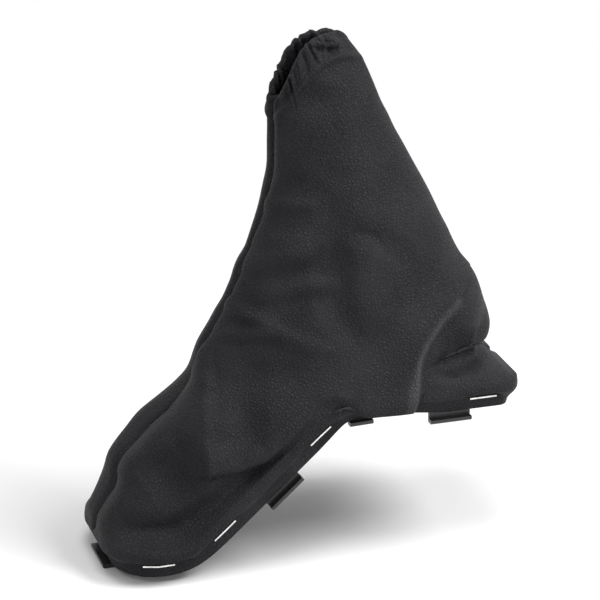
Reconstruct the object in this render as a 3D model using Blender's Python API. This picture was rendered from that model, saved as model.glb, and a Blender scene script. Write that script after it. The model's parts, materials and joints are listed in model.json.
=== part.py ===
"""Handbrake gaiter: two leather panels sewn together front and back, gathered round the lever
by an elastic band, and stapled to a stepped plastic frame that clips into the console.

Units are metres. +Z is up, -X is towards the front of the car and -Y is the near, left side.
The origin is under the middle of the frame, level with its lowest clip tips. The sizes below
are given as distances behind the frame's front and above the foot of its front wall.
"""

import math

import bmesh
import bpy
from mathutils import Vector

MM = 0.001

# Frame seen from above: a long ring with rounded ends
FRAME_LENGTH = 181 * MM
FRAME_HALF_WIDTH = 33 * MM
FRONT_CORNER_RADIUS = 20 * MM
REAR_CORNER_RADIUS = 4 * MM

# Frame seen from the side: low front, sloping middle, high rear
RAIL_RISE = 63 * MM
SLOPE_START = 29 * MM
SLOPE_END = 98.5 * MM
BEND_SOFTNESS = 3.5 * MM

# Frame section: a wall, shallower at the upper bend, with a lip outwards along its top
WALL_HEIGHT = 12 * MM
WALL_SHALLOWER = 3 * MM
SHALLOW_CENTRE = 118 * MM
SHALLOW_REACH = 36 * MM
WALL_THICKNESS = 2 * MM
LIP_WIDTH = 5 * MM
LIP_THICKNESS = 2 * MM

# Clips, moulded in one with the wall: side ones as (distance behind the front, width, drop)
LONG_DROP = 4.5 * MM
SHORT_DROP = 3 * MM
SIDE_CLIPS = (
    (65 * MM, 19.7 * MM, LONG_DROP),
    (110.5 * MM, 11 * MM, SHORT_DROP),
    (FRAME_LENGTH - 27.5 * MM, 19.7 * MM, LONG_DROP),
)
FRONT_CLIP_WIDTH = 23 * MM
REAR_CLIP_WIDTH = 14 * MM
END_BARB_DEPTH = 4.6 * MM
CLIP_THICKNESS = 1.6 * MM
CLIP_ROOT = 5 * MM
CLIP_INSET = 0.15 * MM
BARB_DEPTH = 2.6 * MM
BARB_HEIGHT = 2 * MM
BARB_EDGE = 0.6 * MM

# Leather
LEATHER = 1.0 * MM
CLEARANCE = 0.3 * MM
MARGIN_ABOVE_FOOT = 0.5 * MM
LIP_BEND = 0.7 * MM
LIP_TUCK = 1.6 * MM
SEAM_GAP = 0.3 * MM
SEAM_ALLOWANCE = 4.5 * MM
HEM_DEPTH = 9 * MM
FOLD_START = 7 * MM
HEM_THICKNESS = 3.6 * MM

# Gathers at the mouth
GATHERS_PER_SIDE = 8
GATHER_HEIGHT = 0.5 * MM
GATHER_REACH = 22 * MM

# Elastic band inside the hem
BAND_THICKNESS = 0.6 * MM
BAND_WIDTH = 6 * MM
BAND_BELOW_RIM = 0.8 * MM

# Staples, as distances behind the front on each long side, with one more at each end
STAPLE_CROWN = 12.8 * MM
STAPLE_WIRE_WIDTH = 1.2 * MM
STAPLE_WIRE_THICKNESS = 0.6 * MM
STAPLE_CLINCH = 3 * MM
STAPLE_HOLE_CLEARANCE = 0.3 * MM
STAPLE_BELOW_RAIL = 6.2 * MM
SIDE_STAPLES = (15.5 * MM, 42 * MM, 87 * MM, 130 * MM, FRAME_LENGTH - 12 * MM)

# Fineness of the meshes
FRONT_STEPS = 2
FRONT_ARC_STEPS = 5
SIDE_STEPS = 19
REAR_ARC_STEPS = 2
REAR_STEPS = 3
UP_BODY = 26
ROW_CROWDING = 1.3

# Finishes
LEATHER_COLOUR = (0.028, 0.028, 0.031)
PLASTIC_COLOUR = (0.012, 0.012, 0.013)
STEEL_COLOUR = (0.72, 0.72, 0.70)
ELASTIC_COLOUR = (0.05, 0.05, 0.05)

WALL_FOOT_HEIGHT = SHORT_DROP
LEATHER_OUT = CLEARANCE + LEATHER
BODY_OUT = LIP_WIDTH + LEATHER_OUT

# The leather's sections and folds are told in shares of the frame, so that they stretch with
# it. Their widths turn into shares of the hem towards the mouth, which grips the lever.
ALONG = FRAME_LENGTH / 181
ACROSS = FRAME_HALF_WIDTH / 33
UPWARD = RAIL_RISE / 63
MOUTH = HEM_THICKNESS / 3.6
FOOT_TO_MOUTH = (39, 9)


class Section:
    """One level of the leather above the frame: its front and rear ends as distances behind
    the frame's front and above its foot, its half width, how blunt each end is, how far it
    rolls forward on each side of the front seam, how far its sides bow out of its plane, and
    how much of the rail's step its sides still follow."""

    def __init__(self, front, rear, half_width, front_shape, rear_shape, roll=0.0, bow=0.0,
                 follow=0.0):
        self.front = Vector((front[0] * ALONG, 0.0, front[1] * UPWARD))
        self.rear = Vector((rear[0] * ALONG, 0.0, rear[1] * UPWARD))
        foot, mouth = FOOT_TO_MOUTH
        low = (half_width - mouth) / (foot - mouth)
        self.half_width = half_width * (ACROSS * low + MOUTH * (1 - low))
        self.front_shape = front_shape
        self.rear_shape = rear_shape
        self.roll = roll * ALONG
        self.bow = bow * UPWARD
        self.follow = follow


SECTIONS = (
    Section((-3.5, 19.5), (181.5, 79.5), 39.0, 0.32, 0.16, roll=4.0, follow=0.95),
    Section((3.5, 34.0), (175.5, 83.0), 38.5, 0.33, 0.30, roll=3.5, follow=0.8),
    Section((6.5, 46.5), (181.0, 88.0), 36.5, 0.38, 0.33, roll=4.0, follow=0.6),
    Section((21.5, 62.0), (182.5, 95.5), 34.0, 0.36, 0.36, roll=6.0, follow=0.4),
    Section((42.5, 79.0), (179.5, 106.5), 31.0, 0.42, 0.40, roll=5.5, follow=0.25),
    Section((45.0, 96.0), (172.5, 120.5), 28.5, 0.6, 0.5, follow=0.12),
    Section((57.0, 118.0), (158.5, 149.0), 25.0, 0.7, 0.5),
    Section((70.0, 147.0), (142.5, 180.0), 20.5, 0.7, 0.5),
    Section((78.5, 175.0), (129.5, 206.0), 16.5, 0.62, 0.5),
    Section((79.0, 196.0), (119.0, 228.0), 13.0, 0.5, 0.5, bow=1.5),
)
FAR_ROLL = 1.4
RIM = Section((79.0, 208.0), (107.0, 240.0), 9.0, 0.42, 0.5, bow=5.0)


def soft_ramp(x):
    """A ramp that leaves zero smoothly."""
    s = x / BEND_SOFTNESS
    return BEND_SOFTNESS * (max(s, 0.0) + math.log1p(math.exp(-abs(s))))


def soft_step(x):
    """The slope of soft_ramp."""
    return 0.5 * (1 + math.tanh(x / (2 * BEND_SOFTNESS)))


def rail_height(x):
    """Height of the rail above its front level at a distance behind the front."""
    gain = RAIL_RISE / (SLOPE_END - SLOPE_START)
    return gain * (soft_ramp(x - SLOPE_START) - soft_ramp(x - SLOPE_END))


def rail_angle(x):
    """Slope angle of the rail at a distance behind the front."""
    gain = RAIL_RISE / (SLOPE_END - SLOPE_START)
    return math.atan(gain * (soft_step(x - SLOPE_START) - soft_step(x - SLOPE_END)))


def outline_at(s):
    """Point and outward normal on the near half of the wall's outer face, seen from above,
    at a distance along it from the middle of the front."""
    front, rear = FRONT_CORNER_RADIUS, REAR_CORNER_RADIUS
    width, length = FRAME_HALF_WIDTH, FRAME_LENGTH
    front_end = width - front
    front_arc = front_end + front * math.pi / 2
    side = front_arc + length - front - rear
    rear_arc = side + rear * math.pi / 2
    if s <= front_end:
        return Vector((0, -s, 0)), Vector((-1, 0, 0))
    if s <= front_arc:
        a = (s - front_end) / front
        normal = Vector((-math.cos(a), -math.sin(a), 0))
        return Vector((front, -front_end, 0)) + normal * front, normal
    if s <= side:
        return Vector((front + s - front_arc, -width, 0)), Vector((0, -1, 0))
    if s <= rear_arc:
        a = (s - side) / rear
        normal = Vector((math.sin(a), -math.cos(a), 0))
        return Vector((length - rear, rear - width, 0)) + normal * rear, normal
    return Vector((length, rear - width + s - rear_arc, 0)), Vector((1, 0, 0))


def outline_length():
    """Length of the near half of the wall's outer face, seen from above."""
    arcs = (FRONT_CORNER_RADIUS + REAR_CORNER_RADIUS) * (math.pi / 2 - 2)
    return 2 * FRAME_HALF_WIDTH + FRAME_LENGTH + arcs


class Rail:
    """The wall's top outer edge on the near side, read by its share of the half loop."""

    STEPS = 400

    def __init__(self):
        self.stations = []
        distance = 0.0
        last = None
        for i in range(self.STEPS + 1):
            flat, normal = outline_at(outline_length() * i / self.STEPS)
            point = flat + Vector((0, 0, WALL_HEIGHT + rail_height(flat.x)))
            distance += (point - last).length if last is not None else 0.0
            self.stations.append((distance, point, normal, rail_angle(flat.x)))
            last = point
        self.length = distance

    def at(self, share):
        """Point, outward and downward directions at a share of the half loop. A share under
        0 or over 1 carries on round the far side."""
        far = share < 0 or share > 1
        share = -share if share < 0 else 2 - share if share > 1 else share
        goal = share * self.length
        k = min(int(share * self.STEPS), self.STEPS - 1)
        while k > 0 and self.stations[k][0] > goal:
            k -= 1
        while k < self.STEPS - 1 and self.stations[k + 1][0] < goal:
            k += 1
        before, after = self.stations[k], self.stations[k + 1]
        part = (goal - before[0]) / (after[0] - before[0])
        point = before[1].lerp(after[1], part)
        outward = before[2].lerp(after[2], part).normalized()
        angle = before[3] + (after[3] - before[3]) * part
        if far:
            point.y, outward.y = -point.y, -outward.y
        return point, outward, Vector((math.sin(angle), 0, -math.cos(angle)))

    def share_at(self, x):
        """Share of the half loop at a distance behind the front, along the near side."""
        for distance, point, normal, angle in self.stations:
            if point.x >= x:
                return distance / self.length
        return 1.0


RAIL = Rail()


def rail_shares():
    """Shares of the near half loop at which the frame and the leather have their columns."""
    front_end = FRAME_HALF_WIDTH - FRONT_CORNER_RADIUS
    rear_end = FRAME_HALF_WIDTH - REAR_CORNER_RADIUS
    marks = (0.0, front_end / RAIL.length, RAIL.share_at(FRONT_CORNER_RADIUS),
             RAIL.share_at(FRAME_LENGTH - REAR_CORNER_RADIUS), 1 - rear_end / RAIL.length, 1.0)
    steps = (FRONT_STEPS, FRONT_ARC_STEPS, SIDE_STEPS, REAR_ARC_STEPS, REAR_STEPS)
    shares = [0.0]
    for count, start, end in zip(steps, marks, marks[1:]):
        shares.extend(start + (end - start) * (i + 1) / count for i in range(count))
    return shares


SHARES = rail_shares()
AROUND = len(SHARES) - 1
ALL_SHARES = SHARES + [2 - share for share in SHARES[-2:0:-1]]


def bump(distance, reach):
    """One at no distance, falling smoothly to nothing at the reach."""
    s = min(abs(distance) / reach, 1.0)
    return (1 - s * s) ** 2


def wall_height(share):
    """Height of the wall at a share of the half loop."""
    x = RAIL.at(share)[0].x
    return WALL_HEIGHT - WALL_SHALLOWER * bump(x - SHALLOW_CENTRE, SHALLOW_REACH)


def on_rail(share, out, down_by):
    """A point by its distances out from the wall's face and down from the rail."""
    point, outward, down = RAIL.at(share)
    return point + outward * out + down * down_by


def rail_step(x):
    """How far the rail lies above the straight line between its two ends."""
    share = min(max(x / FRAME_LENGTH, 0.0), 1.0)
    return rail_height(x) - RAIL_RISE * share


def section_points(section, fuller=1.0, count=96):
    """One half of a section as a fine line from its front end to its rear end."""
    chord = section.rear - section.front
    normal = Vector((-chord.z, 0, chord.x)).normalized()
    a, b = section.front_shape, section.rear_shape
    peak = (a / (a + b)) ** a * (b / (a + b)) ** b
    points = []
    for i in range(count + 1):
        c = (1 - math.cos(math.pi * i / count)) / 2
        point = section.front + chord * c + normal * (section.bow * math.sin(math.pi * c) ** 2)
        width = c ** a * (1 - c) ** b / peak
        if c < a / (a + b):
            point -= chord.normalized() * (section.roll * fuller * math.sin(math.pi * width ** 1.2))
        point.y = -section.half_width * width
        point.z += section.follow * rail_step(point.x)
        points.append(point)
    return points


def distances(points):
    """Distance of each point along a line of points."""
    lengths = [0.0]
    for before, after in zip(points, points[1:]):
        lengths.append(lengths[-1] + (after - before).length)
    return lengths


def spread(points, shares):
    """Points at given shares of a line's length."""
    lengths = distances(points)
    found = []
    k = 0
    for share in shares:
        goal = share * lengths[-1]
        while k < len(points) - 2 and lengths[k + 1] < goal:
            k += 1
        part = (goal - lengths[k]) / (lengths[k + 1] - lengths[k])
        found.append(points[k].lerp(points[k + 1], part))
    return found


def curve_at(points, lengths, goal):
    """A smooth curve through points, read at a distance along them."""
    k = 0
    while k < len(points) - 2 and lengths[k + 1] < goal:
        k += 1
    p1, p2 = points[k], points[k + 1]
    span = lengths[k + 1] - lengths[k]
    s = (goal - lengths[k]) / span
    m1 = p2 - p1
    m2 = p2 - p1
    if k > 0:
        m1 = (p2 - points[k - 1]) * (span / (lengths[k + 1] - lengths[k - 1]))
    if k < len(points) - 2:
        m2 = (points[k + 2] - p1) * (span / (lengths[k + 2] - lengths[k]))
    s2, s3 = s * s, s * s * s
    return (p1 * (2 * s3 - 3 * s2 + 1) + m1 * (s3 - 2 * s2 + s)
            + p2 * (3 * s2 - 2 * s3) + m2 * (s3 - s2))


class Fold:
    """A soft ridge, or a hollow where its height is negative, along a line of points told in
    side view as distances behind the frame's front and above its foot. It can also sink."""

    def __init__(self, height, reach, *line, sides="near", sink=0.0):
        self.height = height * ACROSS
        self.reach = reach * UPWARD
        self.line = [Vector((x * ALONG, z * UPWARD)) for x, z in line]
        self.sides = sides
        self.sink = sink * UPWARD

    def strength(self, point, near):
        """How much of the fold is felt at a point of one side."""
        if self.sides not in ("both", "near" if near else "far"):
            return 0.0
        spot = Vector((point.x, point.z))
        gap = (spot - self.line[0]).length
        along = 1.0
        for k, (start, end) in enumerate(zip(self.line, self.line[1:])):
            run = end - start
            part = min(max((spot - start).dot(run) / run.length_squared, 0.0), 1.0)
            reached = (spot - start - run * part).length
            if reached <= gap:
                gap = reached
                along = math.sin(math.pi * (0.1 + 0.8 * (k + part) / (len(self.line) - 1))) ** 0.5
        return bump(gap, self.reach) * along


FOLDS = (
    # Ridge over the rear bulge, the pit under it and the bulge itself
    Fold(4.5, 10, (157, 113), (151, 107), (145, 102), (139, 90), (135, 78)),
    Fold(-6.5, 13, (155, 90), (172, 90)),
    Fold(3.5, 17, (163, 109), (174, 101)),
    # Bonnet: the hollow behind its shoulder, the crease above the slope and its upright fold
    Fold(-4.0, 15, (13, 39), (30, 50)),
    Fold(-5.0, 11, (86, 64), (67, 55), (47, 48)),
    Fold(-4.0, 10, (51, 77), (49, 64), (48, 52)),
    Fold(3.0, 9, (41, 74), (38, 57)),
    Fold(2.5, 7, (46, 95), (44, 84), (42, 75)),
    Fold(1.8, 10, (-2, 19), (14, 22), (28, 22)),
    # Slack wrinkles up the side
    Fold(-2.5, 18, (74, 90), (82, 80)),
    Fold(2.4, 10, (62, 106), (90, 101)),
    Fold(2.0, 9, (66, 124), (96, 125)),
    Fold(2.0, 9, (74, 144), (93, 145)),
    Fold(-2.0, 9, (108, 155), (128, 141)),
    # Far side, with its own run of slack
    Fold(3.5, 11, (150, 112), (141, 95), (139, 80), sides="far"),
    Fold(-6.0, 13, (157, 91), (173, 91), sides="far"),
    Fold(-3.5, 15, (18, 42), (36, 52), sides="far"),
    Fold(-3.5, 12, (92, 68), (68, 57), sides="far"),
    Fold(2.4, 11, (70, 104), (104, 98), sides="far"),
    Fold(2.2, 10, (68, 130), (100, 124), sides="far"),
    Fold(-2.0, 10, (100, 160), (122, 146), sides="far"),
    # Leather hanging over the rail where the slope meets the rear
    Fold(1.0, 13, (104, 79), (121, 83), (133, 84), sides="both", sink=5.0),
)


class Leather:
    """The outer face of one panel: columns run from the front seam to the rear seam, and
    levels run from the lip up to the rim."""

    def __init__(self, near):
        self.near = near
        self.side = 1 if near else -1
        self.columns = {}

    def column(self, share):
        """The guide points of one column, and their distances."""
        key = round(share, 6)
        if key not in self.columns:
            points = [on_rail(share, BODY_OUT - LIP_BEND / 2, -LEATHER_OUT - LIP_BEND / 2)]
            for line in SECTION_LINES[self.near]:
                points.append(spread(line, [share])[0])
            self.columns[key] = (points, distances(points))
        return self.columns[key]

    def plain(self, share, level):
        """A point of the face without its folds."""
        mirrored = share < 0 or share > 1
        share = -share if share < 0 else 2 - share if share > 1 else share
        points, lengths = self.column(share)
        point = curve_at(points, lengths, level * lengths[-1])
        return Vector((point.x, -point.y if mirrored else point.y, point.z))

    def frame(self, share, level):
        """Point, outward normal and upward direction of the face without its folds."""
        step = 0.004
        point = self.plain(share, level)
        around = self.plain(share + step, level) - self.plain(share - step, level)
        high, low = min(level + step, 1.0), max(level - step, 0.0)
        upward = self.plain(share, high) - self.plain(share, low)
        return point, around.cross(upward).normalized(), upward.normalized()

    def length(self, share):
        """Length of a column from the lip to the rim."""
        return self.column(share)[1][-1]

    def depth_level(self, share, depth):
        """The level that lies a depth below the rim."""
        return 1 - depth / self.length(share)

    def outer(self, share, level, inward=0.0, above=0.0):
        """A point of the face with its folds, or behind or above it, on this panel's side."""
        point, normal, upward = self.frame(share, level)
        free = min(1.0, level * self.length(share) / FOLD_START)
        lift = self.gather(share, level) - inward
        sink = 0.0
        for fold in FOLDS:
            strength = fold.strength(point, self.near) * free
            lift += fold.height * strength
            sink += fold.sink * strength
        flat = Vector((normal.x, normal.y, 0)).normalized()
        point = point + normal * lift + upward * above + flat * (sink * 0.5) - Vector((0, 0, sink))
        return Vector((point.x, point.y * self.side, point.z))

    def gather(self, share, level):
        """Height of the gathers that the elastic band draws in round the mouth."""
        below = (1 - level) * self.length(share)
        fade = max(0.0, 1 - below / GATHER_REACH)
        ends = min(1.0, 5 * min(share, 1 - share))
        return GATHER_HEIGHT * math.cos(2 * math.pi * GATHERS_PER_SIDE * share) * fade * ends


SECTION_LINES = {near: [section_points(section, 1.0 if near else FAR_ROLL)
                        for section in SECTIONS + (RIM,)] for near in (True, False)}


def to_part(point):
    """From distances behind the frame's front and above its foot to the part's own axes."""
    return Vector((point.x - FRAME_LENGTH / 2, point.y, point.z + WALL_FOOT_HEIGHT))


def finish(name, colour, roughness, metallic=0.0):
    """A plain material."""
    made = bpy.data.materials.new(name)
    made.use_nodes = True
    shader = made.node_tree.nodes["Principled BSDF"]
    shader.inputs["Base Color"].default_value = (*colour, 1)
    shader.inputs["Roughness"].default_value = roughness
    shader.inputs["Metallic"].default_value = metallic
    return made


def add_object(name, bm, collection, look=None):
    """Turn a bmesh into a named object."""
    bmesh.ops.recalc_face_normals(bm, faces=bm.faces)
    mesh = bpy.data.meshes.new(name)
    bm.to_mesh(mesh)
    bm.free()
    obj = bpy.data.objects.new(name, mesh)
    collection.objects.link(obj)
    if look:
        mesh.materials.append(look)
    else:
        obj.hide_render = True
        obj.display_type = "WIRE"
    return obj


def skin_rows(bm, rows, close_rows=False, close_columns=False):
    """Faces between rows of vertices."""
    pairs = list(zip(rows, rows[1:]))
    if close_rows:
        pairs.append((rows[-1], rows[0]))
    for lower, upper in pairs:
        count = len(lower)
        for i in range(count if close_columns else count - 1):
            j = (i + 1) % count
            bm.faces.new((lower[i], lower[j], upper[j], upper[i]))


def margin_path(share):
    """The leather's face round the lip as (out, down) pairs, from the margin's edge up."""
    low = wall_height(share) - MARGIN_ABOVE_FOOT
    under = LIP_THICKNESS + LEATHER_OUT
    tuck = under + LIP_TUCK
    return (
        (LEATHER_OUT, low),
        (LEATHER_OUT, (low + tuck) / 2),
        (LEATHER_OUT, tuck),
        (BODY_OUT - LIP_BEND, under),
        (BODY_OUT, under - LIP_BEND),
        (BODY_OUT, 0.0),
    )


def panel_rows(leather):
    """Rows of points over a panel's face: margin, lip, body, rim and turned hem."""
    rows = []
    for steps in zip(*(margin_path(share) for share in SHARES)):
        row = [on_rail(share, out, down_by) for share, (out, down_by) in zip(SHARES, steps)]
        rows.append([Vector((p.x, p.y * leather.side, p.z)) for p in row])
    for i in range(UP_BODY + 1):
        up = (i / UP_BODY) ** ROW_CROWDING
        rows.append([leather.outer(share, leather.depth_level(share, HEM_DEPTH) * up)
                     for share in SHARES])
    for depth in (HEM_DEPTH / 2, 0.0):
        rows.append([leather.outer(share, leather.depth_level(share, depth)) for share in SHARES])
    radius = HEM_THICKNESS / 2
    for angle in (45, 90, 135):
        a = math.radians(angle)
        rows.append([leather.outer(share, 1.0, radius * (1 - math.cos(a)), radius * math.sin(a))
                     for share in SHARES])
    for depth in (0.0, HEM_DEPTH / 2, HEM_DEPTH):
        rows.append([leather.outer(share, leather.depth_level(share, depth), HEM_THICKNESS)
                     for share in SHARES])
    return rows


def keep_to_side(point, side):
    """Hold a point on its own side of the seam plane."""
    edge = -SEAM_GAP / 2
    if side > 0:
        point.y = min(point.y, edge)
    else:
        point.y = max(point.y, -edge)
    return point


def build_panel(name, near, collection, look):
    """One leather panel as a closed sheet, with its seam allowances turned inwards."""
    leather = Leather(near)
    bm = bmesh.new()
    rows = panel_rows(leather)
    verts = [[bm.verts.new(to_part(keep_to_side(p, leather.side))) for p in row] for row in rows]
    skin_rows(bm, verts)
    first = len(margin_path(0.0)) + 2
    body = range(first, first + UP_BODY - 2)
    for column, share in ((0, 0.0), (AROUND, 1.0)):
        strip = []
        for row in body:
            edge = verts[row][column]
            rise = verts[row + 1][column].co - verts[row - 1][column].co
            inward = Vector((rise.z, 0, -rise.x)).normalized()
            if share == 1.0:
                inward = -inward
            strip.append([edge, bm.verts.new(edge.co + inward * SEAM_ALLOWANCE)])
        skin_rows(bm, strip)
    bmesh.ops.recalc_face_normals(bm, faces=bm.faces)
    if sum(f.normal.y * f.calc_area() for f in bm.faces) * leather.side > 0:
        bmesh.ops.reverse_faces(bm, faces=bm.faces)
    bmesh.ops.solidify(bm, geom=bm.faces[:], thickness=LEATHER)
    for vert in bm.verts:
        keep_to_side(vert.co, leather.side)
    return add_object(name, bm, collection, look)


def build_frame(collection, look):
    """The plastic ring: a wall with an outward lip, swept round the stepped rail."""
    bm = bmesh.new()
    rows = []
    for share in ALL_SHARES:
        foot = wall_height(share)
        section = ((-WALL_THICKNESS, 0.0), (LIP_WIDTH, 0.0), (LIP_WIDTH, LIP_THICKNESS),
                   (0.0, LIP_THICKNESS), (0.0, foot), (-WALL_THICKNESS, foot))
        rows.append([bm.verts.new(to_part(on_rail(share, out, down))) for out, down in section])
    skin_rows(bm, rows, close_rows=True, close_columns=True)
    return add_object("clip_frame", bm, collection, look)


def build_clip(name, share, width, drop, depth, collection):
    """One snap clip below the wall, to be joined to the frame."""
    foot = wall_height(share)
    tip = foot + drop
    inner = -CLIP_INSET - CLIP_THICKNESS
    outline = (
        (inner, foot - CLIP_ROOT),
        (inner, tip - BARB_EDGE),
        (inner + BARB_EDGE, tip),
        (depth - BARB_EDGE, tip),
        (depth, tip - BARB_EDGE),
        (depth, tip - BARB_HEIGHT),
        (-CLIP_INSET, tip - BARB_HEIGHT),
        (-CLIP_INSET, foot - CLIP_ROOT),
    )
    point, outward, down = RAIL.at(share)
    along = outward.cross(down)
    bm = bmesh.new()
    ends = []
    for side in (-0.5, 0.5):
        ends.append([bm.verts.new(to_part(point + outward * out + down * low + along * width * side))
                     for out, low in outline])
    skin_rows(bm, ends, close_columns=True)
    bm.faces.new(ends[0])
    bm.faces.new(ends[1])
    return add_object(name, bm, collection)


def staple_shares():
    """Where the staples sit round the rail, by name."""
    shares = {"staple_front": 0.0, "staple_rear": 1.0}
    for i, x in enumerate(SIDE_STAPLES, 1):
        share = RAIL.share_at(x)
        shares["staple_left_%d" % i] = share
        shares["staple_right_%d" % i] = 2 - share
    return shares


def staple_span():
    """Half the crown as a share of the half loop."""
    return (STAPLE_CROWN - STAPLE_WIRE_THICKNESS) / 2 / RAIL.length


def build_staple(name, share, collection, look):
    """A wire staple: crown outside the leather, legs through it and the wall, ends clinched."""
    half = staple_span()
    crown_out = LEATHER_OUT + CLEARANCE + STAPLE_WIRE_THICKNESS / 2
    clinch_out = -WALL_THICKNESS - CLEARANCE - STAPLE_WIRE_THICKNESS / 2
    turn = STAPLE_CLINCH / RAIL.length
    path = ((-half + turn, clinch_out), (-half, clinch_out), (-half, crown_out), (0.0, crown_out),
            (half, crown_out), (half, clinch_out), (half - turn, clinch_out))
    centres = [on_rail(share + d, out, STAPLE_BELOW_RAIL) for d, out in path]
    down = RAIL.at(share)[2]
    bm = bmesh.new()
    rows = []
    for i, centre in enumerate(centres):
        before = centres[max(i - 1, 0)]
        after = centres[min(i + 1, len(centres) - 1)]
        into = (centre - before).normalized() if i else (after - centre).normalized()
        onward = (after - centre).normalized() if i < len(centres) - 1 else into
        middle = (into + onward).normalized()
        across = middle.cross(down).normalized()
        reach = STAPLE_WIRE_THICKNESS / 2 / max(middle.dot(into), 0.5)
        half_width = down * STAPLE_WIRE_WIDTH / 2
        rows.append([bm.verts.new(to_part(centre + across * reach + half_width)),
                     bm.verts.new(to_part(centre + across * reach - half_width)),
                     bm.verts.new(to_part(centre - across * reach - half_width)),
                     bm.verts.new(to_part(centre - across * reach + half_width))])
    skin_rows(bm, rows, close_columns=True)
    bm.faces.new(rows[0])
    bm.faces.new(rows[-1])
    return add_object(name, bm, collection, look)


def build_leg_holes(name, shares, collection):
    """Cutters for the holes that the staples' legs pass through."""
    bm = bmesh.new()
    half_along = STAPLE_WIRE_THICKNESS / 2 + STAPLE_HOLE_CLEARANCE
    half_down = STAPLE_WIRE_WIDTH / 2 + STAPLE_HOLE_CLEARANCE
    reach = LIP_WIDTH
    for share in shares:
        for turn in (-staple_span(), staple_span()):
            point, outward, down = RAIL.at(share + turn)
            along = outward.cross(down)
            centre = point + down * STAPLE_BELOW_RAIL
            made = bmesh.ops.create_cube(bm, size=2.0)["verts"]
            for vert in made:
                x, y, z = vert.co
                vert.co = to_part(centre + along * half_along * x + down * half_down * y
                                  + outward * reach * z)
    return add_object(name, bm, collection)


def build_band(collection, look):
    """The elastic band that runs round the mouth inside the hem."""
    near, far = Leather(True), Leather(False)
    tunnel = LEATHER + (HEM_THICKNESS - 2 * LEATHER - BAND_THICKNESS) / 2
    bm = bmesh.new()
    rows = []
    for turn in ALL_SHARES:
        leather = near if turn <= 1 else far
        share = turn if turn <= 1 else 2 - turn
        ring = []
        for depth, inward in ((BAND_BELOW_RIM, tunnel), (BAND_BELOW_RIM, tunnel + BAND_THICKNESS),
                              (BAND_BELOW_RIM + BAND_WIDTH, tunnel + BAND_THICKNESS),
                              (BAND_BELOW_RIM + BAND_WIDTH, tunnel)):
            level = leather.depth_level(share, depth)
            ring.append(bm.verts.new(to_part(leather.outer(share, level, inward))))
        rows.append(ring)
    skin_rows(bm, rows, close_rows=True, close_columns=True)
    return add_object("elastic_band", bm, collection, look)


def combine(target, cutter, operation):
    """Cut or join one object with another, and apply it."""
    change = target.modifiers.new(operation.lower(), "BOOLEAN")
    change.operation = operation
    change.object = cutter
    change.solver = "EXACT"


def main():
    """Build the gaiter."""
    for old in list(bpy.data.objects):
        bpy.data.objects.remove(old, do_unlink=True)
    parts = bpy.data.collections.new("handbrake_gaiter")
    helpers = bpy.data.collections.new("cutters")
    for collection in (parts, helpers):
        bpy.context.scene.collection.children.link(collection)

    leather = finish("leather", LEATHER_COLOUR, 0.5)
    plastic = finish("plastic", PLASTIC_COLOUR, 0.3)
    steel = finish("steel", STEEL_COLOUR, 0.3, 1.0)
    elastic = finish("elastic", ELASTIC_COLOUR, 0.8)

    frame = build_frame(parts, plastic)
    clips = [("clip_front", 0.0, FRONT_CLIP_WIDTH, SHORT_DROP, END_BARB_DEPTH),
             ("clip_rear", 1.0, REAR_CLIP_WIDTH, SHORT_DROP, END_BARB_DEPTH)]
    for i, (x, width, drop) in enumerate(SIDE_CLIPS, 1):
        share = RAIL.share_at(x)
        clips.append(("clip_left_%d" % i, share, width, drop, BARB_DEPTH))
        clips.append(("clip_right_%d" % i, 2 - share, width, drop, BARB_DEPTH))
    for name, share, width, drop, depth in clips:
        combine(frame, build_clip(name, share, width, drop, depth, helpers), "UNION")

    holes = build_leg_holes("leg_holes", staple_shares().values(), helpers)
    combine(frame, holes, "DIFFERENCE")
    for name, near in (("left_panel", True), ("right_panel", False)):
        combine(build_panel(name, near, parts, leather), holes, "DIFFERENCE")
    build_band(parts, elastic)
    for name, share in staple_shares().items():
        build_staple(name, share, parts, steel)


main()
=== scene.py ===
"""Looks of the handbrake gaiter.

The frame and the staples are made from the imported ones, with rounded edges and finer wire. The
two leather panels and the elastic band are built again over the same guide sections as the packed
ones, with finer folds, pleats and seams. Lengths are in metres. Sections and folds are told as
distances behind the ring's front and above the foot of its front wall, in millimetres.
"""

from __future__ import annotations

import json
import logging
import math
from dataclasses import dataclass
from dataclasses import field
from enum import Enum

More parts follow.
